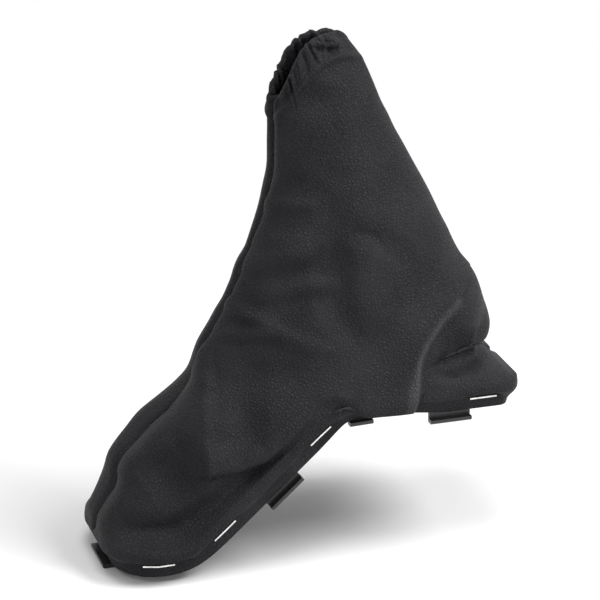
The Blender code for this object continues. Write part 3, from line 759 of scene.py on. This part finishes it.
@dataclass
class LeatherPanel:
    """One leather panel as a fine sheet with its turned edges."""

    side: Side
    ring: RingSizes
    sizes: CoverSizes
    columns: int = 186
    body_rows: int = 200
    crowding: float = 1.2
    allowance_columns: int = 3
    margin_rows: int = 6
    bend_rows: int = 10
    hem_rows: int = 17
    turn_degrees: int = 22
    inside_rows: int = 5
    seam_fades: tuple[int, int] = (8, 12)
    staple_shares: tuple[float, ...] = ()
    rail: Rail = field(init=False)
    cover: Cover = field(init=False)
    flat_size: tuple[float, float, float] = (0.0, 0.0, 0.0)

    def __post_init__(self) -> None:
        """Prepare the rail and the cover."""
        self.rail = Rail(self.ring)
        self.cover = Cover(self.side, self.rail, self.sizes)

    def margin(self, shares: np.ndarray) -> list[np.ndarray]:
        """Rows up the margin and round the lip. The leather lies flat on the wall at each
        staple, and bridges from the wall to the lip's edge in a soft slant between them.

        Args:
            shares: Shares of the half loop, one for each column.

        Returns:
            Rows of points, from the margin's edge up.
        """
        sizes, cover = self.sizes, self.cover
        low = self.rail.wall_height(self.rail.at(shares)[0][:, 0]) - sizes.margin_above_foot
        loose = self.looseness(shares)
        edge = self.ring.lip_width + sizes.out
        bend = sizes.tucked_bend + sizes.loose_bend * loose
        bend = bend + sizes.corner_bend * self.rail.rear_corner(shares, *sizes.corner_reach)
        bend_low = np.minimum(bend, low - MM)
        made = []
        for i in range(self.margin_rows):
            part = i / self.margin_rows
            out = sizes.out + sizes.puff * loose * math.sin(math.pi * part / 2)
            made.append(cover.on_rail(shares, out, low + (bend_low - low) * part)[None])
        for i in range(self.bend_rows):
            part = i / (self.bend_rows - 1)
            near = sizes.out + sizes.puff * loose
            out = near + (edge - near) * part * part * (3 - 2 * part)
            down = bend_low + (sizes.lip_low - bend_low) * part
            made.append(cover.on_rail(shares, out, down)[None])
        made.append(cover.on_rail(shares, np.array(edge), np.array(sizes.lip_low / 3))[None])
        return made

    def rows(self, shares: np.ndarray) -> np.ndarray:
        """All rows of the sheet: margin, lip, body, rim and turned hem.

        Args:
            shares: Shares of the half loop, one for each column.

        Returns:
            Points by row and column, on the near side.
        """
        sizes, cover = self.sizes, self.cover
        made = self.margin(shares)
        top = 1 - sizes.hem_depth / cover.guides(shares)[1][-1]
        climb = (np.arange(self.body_rows + 1) / self.body_rows)[:, None] ** self.crowding
        made.append(cover.face(shares, climb * top))
        hem = np.linspace(0.0, 1.0, self.hem_rows)[1:, None]
        made.append(cover.face(shares, top + (1 - top) * hem))
        radius = sizes.hem_thickness / 2
        levels = np.ones((1, len(shares)))
        for degrees in range(self.turn_degrees, 180, self.turn_degrees):
            a = math.radians(degrees)
            inward, above = radius * (1 - math.cos(a)), radius * math.sin(a)
            made.append(cover.face(shares, levels, inward, above))
        inside = np.linspace(1.0, 0.0, self.inside_rows)[:, None]
        made.append(cover.face(shares, top + (1 - top) * inside, sizes.hem_thickness))
        return np.concatenate(made)

    def painted_highlight(self, points: np.ndarray) -> np.ndarray:
        """How strongly the highlight is painted along the crests of the folds that carry one.

        Args:
            points: The finished points by row and column.

        Returns:
            Shares from 0 to 1 by row and column.
        """
        place = points * (1.0, self.side.value, 1.0) + (self.ring.length / 2, 0.0, -FOOT)
        # Painted highlight: strongest on each crest, in step with the fold's height there
        painted_highlight = np.zeros(points.shape[:2])
        for fold in self.cover.folds:
            if fold.painted_highlight:
                painted_highlight = np.maximum(painted_highlight, fold.painted_highlight * fold.felt(place) / (abs(fold.height) * MM))
        return painted_highlight * (place[..., 2] > self.rail.sizes.rise + self.rail.sizes.wall_height / 2)

    def looseness(self, shares: np.ndarray) -> np.ndarray:
        """How slack the margin is, from none at a staple to one midway between staples.

        Args:
            shares: Shares of the half loop.

        Returns:
            Looseness by share.
        """
        pinch = np.zeros_like(shares)
        for share in self.staple_shares:
            away = np.abs(shares - share) * self.rail.length
            pinch = np.maximum(pinch, 1 - smooth((away - STAPLE_HOLD) / STAPLE_FADE))
        return 1 - pinch

    def with_allowances(self, points: np.ndarray) -> np.ndarray:
        """Turn both seam edges inwards.

        Args:
            points: Points by row and column.

        Returns:
            The points with more columns at each end.
        """
        sizes = self.sizes
        points[..., 1] = np.minimum(points[..., 1], 0.0)
        rise = np.gradient(points, axis=0)
        count = len(points)
        row = np.arange(count)
        foot, mouth = self.seam_fades
        hem = self.hem_rows + mouth + self.inside_rows
        body = smooth((row - self.margin_rows - self.bend_rows) / foot)
        body = body * smooth((count - hem - row) / mouth)
        depth = sizes.least_allowance + (sizes.seam_allowance - sizes.least_allowance) * body
        strips = []
        for column, way in ((0, 1.0), (-1, -1.0)):
            up = rise[:, column] * (1.0, 0.0, 1.0)
            inward = way * unit(np.column_stack((up[:, 2], np.zeros(count), -up[:, 0])))
            start = points[:, column].copy()
            start[:, 1] = 0.0
            steps = (np.arange(self.allowance_columns) + 1) / self.allowance_columns
            reach = depth[:, None, None] * steps[None, :, None]
            strips.append(start[:, None] + inward[:, None] * reach)
        points[:, (0, -1), 1] = 0.0
        return np.concatenate((strips[0][:, ::-1], points, strips[1]), axis=1)

    def build(self, name: str, leather: bpy.types.Material, backing: bpy.types.Material,
              ) -> bpy.types.Object:
        """Build the panel.

        Args:
            name: The piece's name.
            leather: Finish of its face.
            backing: Finish of its back.

        Returns:
            The finished piece.
        """
        shares = self.rail.spread(self.columns)
        points = self.with_allowances(self.rows(shares))
        points[..., 0] -= self.ring.length / 2
        points[..., 1] *= self.side.value
        points[..., 2] += FOOT
        obj = sheet_from_points(name, points, self.side is Side.FAR)
        around = distances(points.swapaxes(0, 1))[-1].max()
        up = distances(points)[-1].max()
        area = sum(face.area for face in obj.data.polygons)
        self.flat_size = (float(around), float(up), area)
        obj.data.materials.append(leather)
        obj.data.materials.append(backing)
        # Store where the highlight is painted along the crest, for the leather's colour
        store_mask(obj, PAINTED_HIGHLIGHT, self.painted_highlight(points))
        solid = obj.modifiers.new("thickness", "SOLIDIFY")
        solid.thickness = self.sizes.leather
        solid.offset = -1.0
        solid.material_offset = 1
        solid.material_offset_rim = 1
        return obj


def placed(name: str, data: bpy.types.ID) -> bpy.types.Object:
    """Put an object with this data in the scene.

    Args:
        name: Name of the object.
        data: Its mesh, lamp or camera.

    Returns:
        The object, at the origin.
    """
    obj = bpy.data.objects.new(name, data)
    bpy.context.scene.collection.objects.link(obj)
    return obj


def shaped(name: str, bm: bmesh.types.BMesh, material: bpy.types.Material) -> bpy.types.Object:
    """Make a finished bmesh an object of the scene.

    Args:
        name: Name of the object.
        bm: The shape, which is freed.
        material: Its finish.

    Returns:
        The object.
    """
    mesh = bpy.data.meshes.new(name)
    bm.to_mesh(mesh)
    bm.free()
    mesh.materials.append(material)
    return placed(name, mesh)


def sheet_from_points(name: str, points: np.ndarray, turned: bool,
                      closed: bool = False) -> bpy.types.Object:
    """Shape a fine grid to a surface.

    Args:
        name: Name of the object.
        points: Points by row and column.
        turned: Whether the faces are turned over.
        closed: Whether edges that meet are joined into a closed body.

    Returns:
        The object, shaded smooth.
    """
    rows, columns = points.shape[:2]
    bm = bmesh.new()
    bmesh.ops.create_grid(bm, x_segments=columns - 1, y_segments=rows - 1, size=1.0)
    if turned:
        bmesh.ops.reverse_faces(bm, faces=bm.faces)
    mesh = bpy.data.meshes.new(name)
    bm.to_mesh(mesh)
    bm.free()
    flat = np.zeros(len(mesh.vertices) * 3, np.float32)
    mesh.vertices.foreach_get("co", flat)
    flat = flat.reshape(-1, 3)
    column = np.rint((flat[:, 0] + 1) / 2 * (columns - 1)).astype(int)
    row = np.rint((flat[:, 1] + 1) / 2 * (rows - 1)).astype(int)
    mesh.vertices.foreach_set("co", points[row, column].astype(np.float32).ravel())
    place = mesh.attributes.new(GRID_PLACE, "INT", "POINT")
    place.data.foreach_set("value", (row * columns + column).astype(np.int32))
    if closed:
        bm = bmesh.new()
        bm.from_mesh(mesh)
        bmesh.ops.remove_doubles(bm, verts=bm.verts, dist=2 * WELD)
        bmesh.ops.recalc_face_normals(bm, faces=bm.faces)
        bm.to_mesh(mesh)
        bm.free()
    mesh.shade_smooth()
    return placed(name, mesh)


def store_mask(obj: bpy.types.Object, name: str, values: np.ndarray) -> None:
    """Store a value for each grid point as an attribute of the mesh.

    Args:
        obj: A piece made from a grid.
        name: Name of the attribute.
        values: Values by row and column.
    """
    place = np.zeros(len(obj.data.vertices), np.int32)
    obj.data.attributes[GRID_PLACE].data.foreach_get("value", place)
    mask = obj.data.attributes.new(name, "FLOAT", "POINT")
    mask.data.foreach_set("value", values.ravel()[place].astype(np.float32))


class Nodes:
    """A small helper that places and links shader nodes in a tree."""

    def __init__(self, tree: bpy.types.NodeTree) -> None:
        """Work in a tree."""
        self.tree = tree

    def feed(self, socket: bpy.types.NodeSocket, value: object) -> None:
        """Link an output to a socket, or set the socket's value.

        Args:
            socket: An input.
            value: An output, a number, a colour or a vector.
        """
        if isinstance(value, bpy.types.NodeSocket):
            self.tree.links.new(value, socket)
        elif socket.type == "RGBA":
            socket.default_value = (*value[:3], 1.0)
        else:
            socket.default_value = value

    def add(self, kind: str, **values: object) -> bpy.types.Node:
        """Add a node.

        Args:
            kind: The node's type.
            values: Values of its sockets by name with underscores for spaces, or of its
                properties in lower case.

        Returns:
            The node.
        """
        node = self.tree.nodes.new(kind)
        for name, value in values.items():
            if name[0].islower():
                setattr(node, name, value)
            else:
                self.feed(node.inputs[name.replace("_", " ")], value)
        return node

    def math(self, operation: str, *inputs: object) -> bpy.types.NodeSocket:
        """Add a Math node.

        Args:
            operation: Its operation.
            inputs: Its inputs, as sockets or numbers.

        Returns:
            Its output.
        """
        node = self.add("ShaderNodeMath", operation=operation)
        for socket, value in zip(node.inputs, inputs):
            self.feed(socket, value)
        return node.outputs[0]

    def vector(self, operation: str, first: object, second: object) -> bpy.types.NodeSocket:
        """Add a Vector Math node.

        Args:
            operation: Its operation.
            first: Its first vector.
            second: Its second vector, or the factor of a scale.

        Returns:
            Its output.
        """
        node = self.add("ShaderNodeVectorMath", operation=operation, Vector=first)
        self.feed(node.inputs["Scale"] if operation == "SCALE" else node.inputs[1], second)
        return node.outputs[0]

    def mix(self, share: object, first: object, second: object) -> bpy.types.NodeSocket:
        """Mix two colours.

        Args:
            share: Share of the second, as a socket or number.
            first: A colour, as a socket or three numbers.
            second: A colour, likewise.

        Returns:
            The mixed colour.
        """
        node = self.add("ShaderNodeMix", data_type="RGBA")
        for socket, value in ((0, share), (6, first), (7, second)):
            self.feed(node.inputs[socket], value)
        return node.outputs[2]

    def span(self, value: bpy.types.NodeSocket, low: float, high: float, new_low: float,
             new_high: float) -> bpy.types.NodeSocket:
        """Map a value from one range to another, held at both ends."""
        return self.add("ShaderNodeMapRange", Value=value, From_Min=low, From_Max=high,
                        To_Min=new_low, To_Max=new_high).outputs[0]

    def place(self) -> bpy.types.NodeSocket:
        """Object coordinates."""
        return self.add("ShaderNodeTexCoord").outputs["Object"]

    def relief(self, shader: bpy.types.Node, height: bpy.types.NodeSocket, strength: float,
               depth: float) -> None:
        """Give a shader a relief.

        Args:
            shader: The shader.
            height: The relief's heights.
            strength: How much of it shows.
            depth: Its depth in metres.
        """
        node = self.add("ShaderNodeBump", Height=height, Strength=strength, Distance=depth)
        self.feed(shader.inputs["Normal"], node.outputs["Normal"])


class Pattern(Enum):
    """A shared node group, told by its name, its outputs and its inputs' usual values."""

    GRAIN = ("pebble grain", ("Height", "Crease"), (("Cell Size", 1.1), ("Unevenness", 0.5)))
    CLOUDS = ("clouds", ("Share",), (("Patch Size", 20.0),))
    KNIT = ("knit", ("Height",), (("Rib Size", 0.6),))


class Effects:
    """Node groups that several finishes share, each built once."""

    def __init__(self) -> None:
        """Build the groups."""
        self.groups: dict[Pattern, bpy.types.NodeTree] = {}
        self.build_grain()
        self.build_clouds()
        self.build_knit()

    def start(self, pattern: Pattern) -> tuple[Nodes, dict[str, bpy.types.NodeSocket], object]:
        """Start a group.

        Args:
            pattern: Which group.

        Returns:
            A helper for its tree, its inputs and the inputs of its output node.
        """
        title, outputs, inputs = pattern.value
        tree = bpy.data.node_groups.new(title, "ShaderNodeTree")
        for label, value in inputs:
            socket = tree.interface.new_socket(label, in_out="INPUT", socket_type="NodeSocketFloat")
            socket.default_value = value
        for label in outputs:
            tree.interface.new_socket(label, in_out="OUTPUT", socket_type="NodeSocketFloat")
        self.groups[pattern] = tree
        given = tree.nodes.new("NodeGroupInput").outputs
        return Nodes(tree), given, tree.nodes.new("NodeGroupOutput").inputs

    def use(self, nodes: Nodes, pattern: Pattern, *sizes: float) -> object:
        """Place a group in a material.

        Args:
            nodes: Helper for the material's tree.
            pattern: Which group.
            sizes: Values of its inputs, in order.

        Returns:
            The outputs of the group's node.
        """
        node = nodes.add("ShaderNodeGroup", node_tree=self.groups[pattern])
        for socket, value in zip(node.inputs, sizes):
            socket.default_value = value
        return node.outputs

    def build_grain(self) -> None:
        """Pebbled grain: rounded cells with creases between them, uneven in size."""
        nodes, given, result = self.start(Pattern.GRAIN)
        size = nodes.math("DIVIDE", 1.0, given["Cell Size"])
        scaled = nodes.vector("SCALE", nodes.vector("SCALE", nodes.place(), 1 / MM), size)
        wobble = nodes.add("ShaderNodeTexNoise", Vector=scaled, Scale=0.6, Detail=2.0)
        centred = nodes.vector("SUBTRACT", wobble.outputs["Color"], (0.5, 0.5, 0.5))
        moved = nodes.vector("ADD", scaled, nodes.vector("SCALE", centred, given["Unevenness"]))
        cells, small = (
            nodes.add("ShaderNodeTexVoronoi", feature="DISTANCE_TO_EDGE", Vector=moved, Scale=scale,
                      Randomness=randomness).outputs["Distance"]
            for scale, randomness in ((1.0, 0.9), (2.3, 1.0))
        )
        dome = nodes.math("MULTIPLY", nodes.math("SMOOTH_MIN", cells, 0.4, 0.2), 2.6)
        height = nodes.math("ADD", dome, nodes.span(small, 0.0, 0.3, 0.0, 0.25))
        nodes.feed(result["Height"], height)
        nodes.feed(result["Crease"], nodes.span(cells, 0.0, 0.12, 1.0, 0.0))

    def build_clouds(self) -> None:
        """Soft uneven patches, for handling marks and for uneven colour."""
        nodes, given, result = self.start(Pattern.CLOUDS)
        size = nodes.math("DIVIDE", 1 / MM, given["Patch Size"])
        noise = nodes.add("ShaderNodeTexNoise", Vector=nodes.place(), Scale=size, Detail=4.0)
        nodes.feed(result["Share"], nodes.span(noise.outputs[0], 0.35, 0.65, 0.0, 1.0))

    def build_knit(self) -> None:
        """A fine knit of crossing ribs."""
        nodes, given, result = self.start(Pattern.KNIT)
        size = nodes.math("DIVIDE", 1 / MM, given["Rib Size"])
        ribs = [
            nodes.add("ShaderNodeTexWave", Vector=nodes.place(), Scale=size, Distortion=0.4,
                      bands_direction=way).outputs["Fac"]
            for way in ("X", "Z")
        ]
        nodes.feed(result["Height"], nodes.math("MULTIPLY", *ribs))


def new_material(name: str) -> tuple[bpy.types.Material, Nodes, bpy.types.Node]:
    """Start a material.

    Args:
        name: Its name.

    Returns:
        The material, a helper for its tree and its shader.
    """
    material = bpy.data.materials.new(name)
    material.use_nodes = True
    return material, Nodes(material.node_tree), material.node_tree.nodes["Principled BSDF"]


@dataclass(frozen=True)
class Leather:
    """Charcoal leather with a pebbled grain, painted shade in the grain's creases, and a lighter,
    shinier highlight painted along the rear crest.
    """

    name: str = "grained leather"
    dark: Colour = (0.0050, 0.0050, 0.0058)
    light: Colour = (0.0175, 0.0176, 0.0202)
    cell: float = 1.55
    unevenness: float = 0.9
    patch: float = 24.0
    # How much darker the grain's creases are painted, as painted shade
    painted_crease_shade: float = 0.8
    relief: float = 0.3 * MM
    smoothest: float = 0.48
    patches_rougher: float = 0.04
    creases_rougher: float = 0.12
    shine: float = 0.13
    # Lighter colour painted along the crest as a highlight, and the higher specular level there
    painted_crest_highlight: Colour = (0.028, 0.028, 0.030)
    crest_shine: float = 0.32

    def build(self, effects: Effects) -> bpy.types.Material:
        """Build the finish.

        Args:
            effects: The shared node groups.

        Returns:
            The material.
        """
        material, nodes, shader = new_material(self.name)
        height, crease = effects.use(nodes, Pattern.GRAIN, self.cell, self.unevenness)
        patches = effects.use(nodes, Pattern.CLOUDS, self.patch)["Share"]
        # Random patches of lighter tone, darkened in the grain's creases by painted shade
        patchy_tone_and_crease_shade = nodes.math("MULTIPLY_ADD", crease, -self.painted_crease_shade, patches)
        patchy_tone_and_crease_shade = nodes.span(patchy_tone_and_crease_shade, -self.painted_crease_shade, 1.0, 0.0, 1.0)
        # Painted highlight: the lighter colour is mixed in along the crest's mask, with more
        # specular there
        painted_crest_highlight = nodes.add("ShaderNodeAttribute", attribute_name=PAINTED_HIGHLIGHT).outputs["Fac"]
        colour = nodes.mix(painted_crest_highlight, nodes.mix(patchy_tone_and_crease_shade, self.dark, self.light), self.painted_crest_highlight)
        nodes.feed(shader.inputs["Base Color"], colour)
        shine = nodes.span(painted_crest_highlight, 0.0, 1.0, self.shine, self.crest_shine)
        nodes.feed(shader.inputs["Specular IOR Level"], shine)
        rough = nodes.math("MULTIPLY_ADD", crease, self.creases_rougher, self.smoothest)
        rough = nodes.math("MULTIPLY_ADD", patches, self.patches_rougher, rough)
        nodes.feed(shader.inputs["Roughness"], rough)
        nodes.relief(shader, height, 1.0, self.relief)
        return material


@dataclass(frozen=True)
class Finish:
    """A finish whose colour, and roughness where its two ends differ, follow one pattern. Its
    relief follows the same pattern, or one of its own size. Pattern sizes are in millimetres."""

    name: str
    dark: Colour
    light: Colour
    pattern: Pattern
    size: float
    roughness: tuple[float, float]
    relief: tuple[float, float] = (0.0, 0.0)
    relief_size: float = 0.0
    specular: float = 0.5
    metallic: float = 0.0

    def build(self, effects: Effects) -> bpy.types.Material:
        """Build the finish.

        Args:
            effects: The shared node groups.

        Returns:
            The material.
        """
        material, nodes, shader = new_material(self.name)
        share = effects.use(nodes, self.pattern, self.size)[0]
        nodes.feed(shader.inputs["Base Color"], nodes.mix(share, self.dark, self.light))
        first, last = self.roughness
        rough = first if first == last else nodes.span(share, 0.0, 1.0, first, last)
        nodes.feed(shader.inputs["Roughness"], rough)
        shader.inputs["Specular IOR Level"].default_value = self.specular
        shader.inputs["Metallic"].default_value = self.metallic
        if self.relief_size:
            share = effects.use(nodes, self.pattern, self.relief_size)[0]
        if self.relief[0]:
            nodes.relief(shader, share, self.relief[0], self.relief[1] * MM)
        return material


BACKING = Finish("knitted backing", (0.018, 0.018, 0.019), (0.05, 0.05, 0.052), Pattern.KNIT, 1.2,
                 (0.9, 0.9), (0.6, 0.15), specular=0.2)
MOULDING = Finish("moulded plastic", (0.008, 0.008, 0.0085), (0.013, 0.013, 0.0135),
                  Pattern.CLOUDS, 9.0, (0.26, 0.38), (0.25, 0.03), relief_size=0.35)
WIRE = Finish("staple wire", (0.60, 0.60, 0.58), (0.86, 0.86, 0.84), Pattern.CLOUDS, 2.5,
              (0.34, 0.2), metallic=1.0)
WEBBING = Finish("woven elastic", (0.02, 0.02, 0.02), (0.07, 0.07, 0.07), Pattern.KNIT, 0.8,
                 (0.85, 0.85), (0.8, 0.2))


@dataclass(frozen=True)
class Lamp:
    """One soft light: where it hangs, in degrees and metres, its width and its watts."""

    name: str
    azimuth: float
    elevation: float
    distance: float
    size: float
    power: float


@dataclass(frozen=True)
class Studio:
    """Pale floor, soft lights and the camera at the photograph's angle."""

    azimuth: float = -17.6
    elevation: float = 21.4
    distance: float = 1.3
    focal: float = 170.7
    aim: tuple[float, float, float] = (0.0060, 0.0117, 0.1104)
    floor_size: float = 6.0
    floor_colour: Colour = (0.86, 0.86, 0.86)
    pool: float = 0.22
    room_light: float = 0.3
    lamps: tuple[Lamp, ...] = (
        Lamp("key", 62.0, 48.0, 1.5, 0.8, 22.0),
        Lamp("fill", -60.0, 45.0, 1.6, 1.0, 4.0),
        Lamp("side", 42.0, 6.0, 1.5, 0.4, 7.0),
        Lamp("top", -30.0, 80.0, 1.6, 0.9, 12.0),
    )

    def build(self) -> None:
        """Build it all."""
        camera = bpy.data.cameras.new("camera")
        camera.sensor_width = 36.0
        camera.lens = self.focal
        bpy.context.scene.camera = self.aimed(camera, self.azimuth, self.elevation, self.distance)
        self.build_floor()
        self.build_world()
        for lamp in self.lamps:
            light = bpy.data.lights.new(lamp.name, "AREA")
            light.shape = "DISK"
            light.size = lamp.size
            light.energy = lamp.power
            self.aimed(light, lamp.azimuth, lamp.elevation, lamp.distance)
        bpy.context.scene.view_settings.view_transform = "Standard"

    def aimed(self, data: bpy.types.ID, azimuth: float, elevation: float,
              distance: float) -> bpy.types.Object:
        """Place a camera or a lamp so that it points at the gaiter.

        Args:
            data: The camera or lamp.
            azimuth: Degrees round from the near side.
            elevation: Degrees above the horizon.
            distance: Metres from the gaiter.

        Returns:
            Its object.
        """
        a, e = math.radians(azimuth), math.radians(elevation)
        back = Vector((math.sin(a) * math.cos(e), -math.cos(a) * math.cos(e), math.sin(e)))
        obj = placed(data.name, data)
        obj.location = Vector(self.aim) + back * distance
        obj.rotation_mode = "QUATERNION"
        obj.rotation_quaternion = (-back).to_track_quat("-Z", "Y")
        return obj

    def build_floor(self) -> None:
        """Lay the floor, which takes the shadow and turns to plain white away from it."""
        material, nodes, shader = new_material("floor paint")
        nodes.feed(shader.inputs["Base Color"], self.floor_colour)
        shader.inputs["Roughness"].default_value = 0.9
        away = nodes.add("ShaderNodeVectorMath", operation="LENGTH", Vector=nodes.place())
        far = nodes.span(away.outputs["Value"], self.pool, self.pool * 2.5, 0.0, 1.0)
        glow = nodes.add("ShaderNodeEmission", Color=(1.0, 1.0, 1.0), Strength=1.0)
        mixed = nodes.add("ShaderNodeMixShader")
        parts = (nodes.math("MULTIPLY", far, self.seen(nodes)), shader.outputs[0], glow.outputs[0])
        for socket, part in zip(mixed.inputs, parts):
            nodes.feed(socket, part)
        output = material.node_tree.nodes["Material Output"]
        nodes.feed(output.inputs["Surface"], mixed.outputs[0])
        bm = bmesh.new()
        bmesh.ops.create_grid(bm, x_segments=1, y_segments=1, size=self.floor_size / 2)
        shaped("floor", bm, material)

    def seen(self, nodes: Nodes) -> bpy.types.NodeSocket:
        """One for rays that show the background itself, in view, in a mirror or in glass.

        Args:
            nodes: Helper for the tree it is used in.

        Returns:
            The mask.
        """
        path = nodes.add("ShaderNodeLightPath").outputs
        seen = nodes.math("MAXIMUM", path["Is Camera Ray"], path["Is Glossy Ray"])
        return nodes.math("MAXIMUM", seen, path["Is Transmission Ray"])

    def build_world(self) -> None:
        """Light the room evenly and show it white."""
        world = bpy.data.worlds.new("room")
        world.use_nodes = True
        bpy.context.scene.world = world
        nodes = Nodes(world.node_tree)
        shown = world.node_tree.nodes["Background"]
        nodes.feed(shown.inputs["Color"], (1.0, 1.0, 1.0))
        strength = nodes.span(self.seen(nodes), 0.0, 1.0, self.room_light, 1.0)
        nodes.feed(shown.inputs["Strength"], strength)


class Gaiter:
    """The whole gaiter, dressed."""

    def __init__(self, frame: dict) -> None:
        """Prepare the sizes and the shared groups.

        Args:
            frame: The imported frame.
        """
        self.nodes = frame["nodes"]
        self.effects = Effects()
        self.ring = RingSizes.from_frame()
        self.sizes = CoverSizes()

    def declare(self, piece: bpy.types.Object, node: str) -> None:
        """Tell the frame what a piece rides, which node it replaces.

        Args:
            piece: The piece.
            node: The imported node.
        """
        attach(piece, "root")
        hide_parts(node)
        LOG.info("built %s, %d faces", piece.name, len(piece.data.polygons))

    def welded(self, node: str) -> bmesh.types.BMesh:
        """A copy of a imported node's shape with its loose triangles joined.

        Args:
            node: The node's name.

        Returns:
            The shape.
        """
        bm = bmesh.new()
        bm.from_mesh(self.nodes[node].data)
        bmesh.ops.remove_doubles(bm, verts=bm.verts, dist=WELD)
        return bm

    def build_staples(self) -> None:
        """Build each staple again with finer wire."""
        finish = WIRE.build(self.effects)
        for name in [name for name in self.nodes if name.startswith("staple")]:
            bm = self.welded(name)
            points = np.array([vert.co for vert in bm.verts])
            middle = Vector((points.max(axis=0) + points.min(axis=0)) / 2)
            across = Vector(np.linalg.svd(points - points.mean(axis=0))[2][2])
            for vert in bm.verts:
                vert.co -= across * (vert.co - middle).dot(across) * WIRE_SLIMMING
            self.declare(shaped(name + "_wire", bm, finish), name)

    def build_frame(self) -> None:
        """Build the frame again with its edges rounded, as a moulding's are."""
        bm = self.welded("clip_frame")
        bmesh.ops.dissolve_limit(bm, angle_limit=math.radians(1.0), verts=bm.verts, edges=bm.edges)
        ring = shaped("clip_ring", bm, MOULDING.build(self.effects))
        rounded = ring.modifiers.new("rounded edges", "BEVEL")
        rounded.width = 0.45 * MM
        rounded.segments = 3
        rounded.limit_method = "ANGLE"
        rounded.angle_limit = math.radians(50.0)
        self.declare(ring, "clip_frame")

    def build_panels(self) -> None:
        """Build both leather panels."""
        leather, backing = Leather().build(self.effects), BACKING.build(self.effects)
        rail = Rail(self.ring)
        places = (*SIDE_STAPLES, self.ring.length - LAST_STAPLE)
        shares = (0.0, *(rail.share_at(x) for x in places), 1.0)
        for side, node in ((Side.NEAR, "left_panel"), (Side.FAR, "right_panel")):
            panel = LeatherPanel(side, self.ring, self.sizes, staple_shares=shares)
            piece = panel.build(node.replace("panel", "leather"), leather, backing)
            self.declare(piece, node)

    def build_band(self) -> None:
        """Build the elastic band of the mouth."""
        band = ElasticBand().build("woven_band", self.ring, self.sizes)
        band.data.materials.append(WEBBING.build(self.effects))
        self.declare(band, "elastic_band")


def main() -> None:
    """Build the dressed gaiter in its studio."""
    logging.basicConfig(level=logging.INFO, format="%(name)s: %(message)s")
    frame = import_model()
    gaiter = Gaiter(frame)
    gaiter.build_staples()
    gaiter.build_frame()
    gaiter.build_panels()
    gaiter.build_band()
    Studio().build()


if __name__ == "__main__":
    main()
